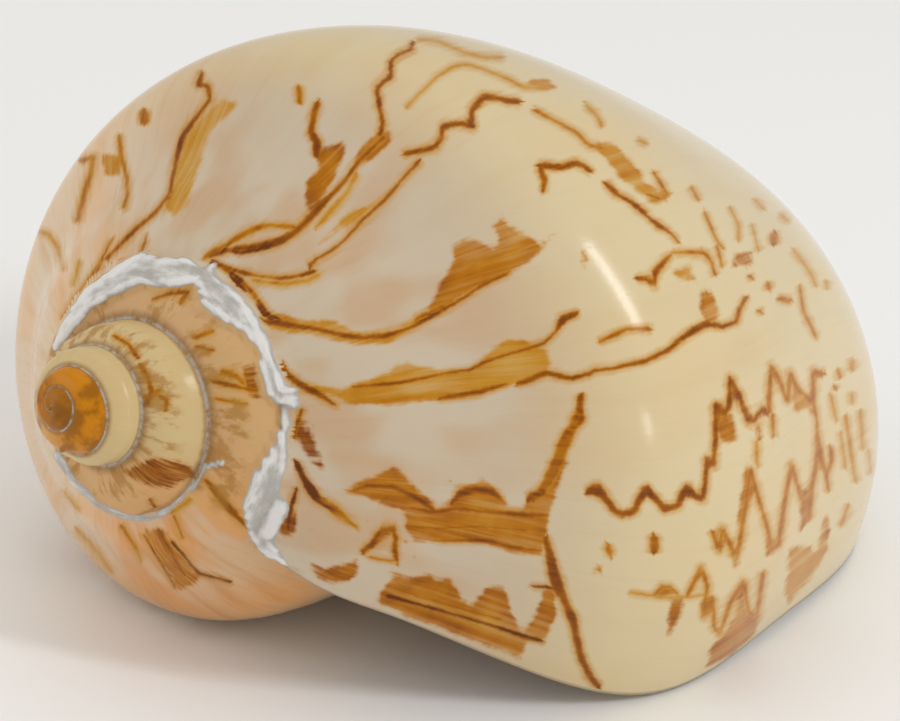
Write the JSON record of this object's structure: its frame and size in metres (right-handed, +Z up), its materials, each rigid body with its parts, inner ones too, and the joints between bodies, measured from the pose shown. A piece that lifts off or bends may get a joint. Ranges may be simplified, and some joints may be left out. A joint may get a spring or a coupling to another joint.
{
  "type": "volute sea snail shell",
  "caption": "Glossy cream volute shell with zigzag brown marks, lying on its wide aperture",
  "frame": {"origin": "centre of the shell's bounding box in plan, at the height of the surface it lies on", "axes": "+Z up as the shell lies on its aperture, +X from the spire's tip towards the front end of the aperture"},
  "size_m": [0.1466, 0.1034, 0.0838],
  "materials": {
    "shell": "glossy natural shell"
  },
  "bodies": {
    "root": {"shell": "shell"}
  },
  "joints": []
}
